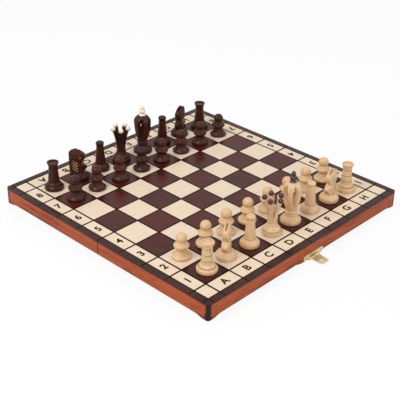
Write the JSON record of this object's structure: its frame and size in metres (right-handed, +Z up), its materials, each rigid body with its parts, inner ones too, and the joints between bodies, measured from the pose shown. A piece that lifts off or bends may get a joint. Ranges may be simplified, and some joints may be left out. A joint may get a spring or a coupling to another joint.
{
  "type": "folding chess box",
  "caption": "Folding wooden chess box: two shallow trays hinged back to back, laid open as the playing board with its men, and a brass clasp.",
  "frame": {"origin": "middle of the hinge line between the two trays, on the plane of the feet", "axes": "+X from file a to file h, +Y from rank 1 to rank 8, +Z up out of the playing surface"},
  "size_m": [0.31, 0.3364, 0.0817],
  "materials": {
    "stained_walls": "orange-brown stain, satin varnish",
    "panel_wood": "dark stain",
    "light_squares": "clear varnish on birch",
    "dark_squares": "maroon-brown stain, satin varnish",
    "light_men": "turned beech, clear varnish",
    "dark_men": "turned wood, dark stain, semi-gloss varnish",
    "brass": "pale polished sheet brass",
    "steel_pin": "drawn wire"
  },
  "bodies": {
    "near_half": {"near_top_panel": "panel_wood", "near_light_squares": "light_squares", "near_dark_squares": "dark_squares", "near_left_wall": "stained_walls", "near_right_wall": "stained_walls", "near_outer_wall": "stained_walls", "near_hinge_wall": "stained_walls", "near_hinge_leaves": "brass", "near_hinge_screws": "brass", "hinge_pins": "steel_pin", "clasp_plate": "brass", "clasp_pin": "steel_pin", "clasp_nails": "brass"},
    "far_half": {"far_top_panel": "panel_wood", "far_light_squares": "light_squares", "far_dark_squares": "dark_squares", "far_left_wall": "stained_walls", "far_right_wall": "stained_walls", "far_outer_wall": "stained_walls", "far_hinge_wall": "stained_walls", "far_hinge_leaves": "brass", "far_hinge_screws": "brass", "clasp_catch": "brass"},
    "clasp_tongue": {"clasp_flap": "brass"},
    "light_rook_a_man": {"light_rook_a": "light_men"},
    "light_knight_b_man": {"light_knight_b": "light_men"},
    "light_bishop_c_man": {"light_bishop_c": "light_men"},
    "light_queen_d_man": {"light_queen_d": "light_men", "light_queen_pearls": "dark_men"},
    "light_king_e_man": {"light_king_e": "light_men", "light_king_finial": "dark_men"},
    "light_bishop_f_man": {"light_bishop_f": "light_men"},
    "light_knight_g_man": {"light_knight_g": "light_men"},
    "light_rook_h_man": {"light_rook_h": "light_men"},
    "light_pawn_a_man": {"light_pawn_a": "light_men"},
    "light_pawn_b_man": {"light_pawn_b": "light_men"},
    "light_pawn_c_man": {"light_pawn_c": "light_men"},
    "light_pawn_d_man": {"light_pawn_d": "light_men"},
    "light_pawn_e_man": {"light_pawn_e": "light_men"},
    "light_pawn_f_man": {"light_pawn_f": "light_men"},
    "light_pawn_g_man": {"light_pawn_g": "light_men"},
    "light_pawn_h_man": {"light_pawn_h": "light_men"},
    "dark_rook_a_man": {"dark_rook_a": "dark_men"},
    "dark_knight_b_man": {"dark_knight_b": "dark_men"},
    "dark_bishop_c_man": {"dark_bishop_c": "dark_men"},
    "dark_queen_d_man": {"dark_queen_d": "dark_men", "dark_queen_pearls": "light_men"},
    "dark_king_e_man": {"dark_king_e": "dark_men", "dark_king_finial": "light_men"},
    "dark_bishop_f_man": {"dark_bishop_f": "dark_men"},
    "dark_knight_g_man": {"dark_knight_g": "dark_men"},
    "dark_rook_h_man": {"dark_rook_h": "dark_men"},
    "dark_pawn_a_man": {"dark_pawn_a": "dark_men"},
    "dark_pawn_b_man": {"dark_pawn_b": "dark_men"},
    "dark_pawn_c_man": {"dark_pawn_c": "dark_men"},
    "dark_pawn_d_man": {"dark_pawn_d": "dark_men"},
    "dark_pawn_e_man": {"dark_pawn_e": "dark_men"},
    "dark_pawn_f_man": {"dark_pawn_f": "dark_men"},
    "dark_pawn_g_man": {"dark_pawn_g": "dark_men"},
    "dark_pawn_h_man": {"dark_pawn_h": "dark_men"}
  },
  "joints": [
    {"name": "board_hinge", "type": "hinge", "parent": "near_half", "child": "far_half", "pos_m": [0, 0, 0], "axis": [-1, 0, 0], "range_deg": [0, 180]},
    {"name": "clasp_hinge", "type": "hinge", "parent": "near_half", "child": "clasp_tongue", "pos_m": [0.004, -0.15965, 0.0017], "axis": [-1, 0, 0], "range_deg": [-85.5, 94.5]},
    {"name": "lift_light_rook_a", "type": "slide", "parent": "near_half", "child": "light_rook_a_man", "axis": [0, 0, 1], "range_m": [0, 0.07]},
    {"name": "lift_light_knight_b", "type": "slide", "parent": "near_half", "child": "light_knight_b_man", "axis": [0, 0, 1], "range_m": [0, 0.07]},
    {"name": "lift_light_bishop_c", "type": "slide", "parent": "near_half", "child": "light_bishop_c_man", "axis": [0, 0, 1], "range_m": [0, 0.07]},
    {"name": "lift_light_queen_d", "type": "slide", "parent": "near_half", "child": "light_queen_d_man", "axis": [0, 0, 1], "range_m": [0, 0.07]},
    {"name": "lift_light_king_e", "type": "slide", "parent": "near_half", "child": "light_king_e_man", "axis": [0, 0, 1], "range_m": [0, 0.07]},
    {"name": "lift_light_bishop_f", "type": "slide", "parent": "near_half", "child": "light_bishop_f_man", "axis": [0, 0, 1], "range_m": [0, 0.07]},
    {"name": "lift_light_knight_g", "type": "slide", "parent": "near_half", "child": "light_knight_g_man", "axis": [0, 0, 1], "range_m": [0, 0.07]},
    {"name": "lift_light_rook_h", "type": "slide", "parent": "near_half", "child": "light_rook_h_man", "axis": [0, 0, 1], "range_m": [0, 0.07]},
    {"name": "lift_light_pawn_a", "type": "slide", "parent": "near_half", "child": "light_pawn_a_man", "axis": [0, 0, 1], "range_m": [0, 0.07]},
    {"name": "lift_light_pawn_b", "type": "slide", "parent": "near_half", "child": "light_pawn_b_man", "axis": [0, 0, 1], "range_m": [0, 0.07]},
    {"name": "lift_light_pawn_c", "type": "slide", "parent": "near_half", "child": "light_pawn_c_man", "axis": [0, 0, 1], "range_m": [0, 0.07]},
    {"name": "lift_light_pawn_d", "type": "slide", "parent": "near_half", "child": "light_pawn_d_man", "axis": [0, 0, 1], "range_m": [0, 0.07]},
    {"name": "lift_light_pawn_e", "type": "slide", "parent": "near_half", "child": "light_pawn_e_man", "axis": [0, 0, 1], "range_m": [0, 0.07]},
    {"name": "lift_light_pawn_f", "type": "slide", "parent": "near_half", "child": "light_pawn_f_man", "axis": [0, 0, 1], "range_m": [0, 0.07]},
    {"name": "lift_light_pawn_g", "type": "slide", "parent": "near_half", "child": "light_pawn_g_man", "axis": [0, 0, 1], "range_m": [0, 0.07]},
    {"name": "lift_light_pawn_h", "type": "slide", "parent": "near_half", "child": "light_pawn_h_man", "axis": [0, 0, 1], "range_m": [0, 0.07]},
    {"name": "lift_dark_rook_a", "type": "slide", "parent": "far_half", "child": "dark_rook_a_man", "axis": [0, 0, 1], "range_m": [0, 0.07]},
    {"name": "lift_dark_knight_b", "type": "slide", "parent": "far_half", "child": "dark_knight_b_man", "axis": [0, 0, 1], "range_m": [0, 0.07]},
    {"name": "lift_dark_bishop_c", "type": "slide", "parent": "far_half", "child": "dark_bishop_c_man", "axis": [0, 0, 1], "range_m": [0, 0.07]},
    {"name": "lift_dark_queen_d", "type": "slide", "parent": "far_half", "child": "dark_queen_d_man", "axis": [0, 0, 1], "range_m": [0, 0.07]},
    {"name": "lift_dark_king_e", "type": "slide", "parent": "far_half", "child": "dark_king_e_man", "axis": [0, 0, 1], "range_m": [0, 0.07]},
    {"name": "lift_dark_bishop_f", "type": "slide", "parent": "far_half", "child": "dark_bishop_f_man", "axis": [0, 0, 1], "range_m": [0, 0.07]},
    {"name": "lift_dark_knight_g", "type": "slide", "parent": "far_half", "child": "dark_knight_g_man", "axis": [0, 0, 1], "range_m": [0, 0.07]},
    {"name": "lift_dark_rook_h", "type": "slide", "parent": "far_half", "child": "dark_rook_h_man", "axis": [0, 0, 1], "range_m": [0, 0.07]},
    {"name": "lift_dark_pawn_a", "type": "slide", "parent": "far_half", "child": "dark_pawn_a_man", "axis": [0, 0, 1], "range_m": [0, 0.07]},
    {"name": "lift_dark_pawn_b", "type": "slide", "parent": "far_half", "child": "dark_pawn_b_man", "axis": [0, 0, 1], "range_m": [0, 0.07]},
    {"name": "lift_dark_pawn_c", "type": "slide", "parent": "far_half", "child": "dark_pawn_c_man", "axis": [0, 0, 1], "range_m": [0, 0.07]},
    {"name": "lift_dark_pawn_d", "type": "slide", "parent": "far_half", "child": "dark_pawn_d_man", "axis": [0, 0, 1], "range_m": [0, 0.07]},
    {"name": "lift_dark_pawn_e", "type": "slide", "parent": "far_half", "child": "dark_pawn_e_man", "axis": [0, 0, 1], "range_m": [0, 0.07]},
    {"name": "lift_dark_pawn_f", "type": "slide", "parent": "far_half", "child": "dark_pawn_f_man", "axis": [0, 0, 1], "range_m": [0, 0.07]},
    {"name": "lift_dark_pawn_g", "type": "slide", "parent": "far_half", "child": "dark_pawn_g_man", "axis": [0, 0, 1], "range_m": [0, 0.07]},
    {"name": "lift_dark_pawn_h", "type": "slide", "parent": "far_half", "child": "dark_pawn_h_man", "axis": [0, 0, 1], "range_m": [0, 0.07]}
  ]
}
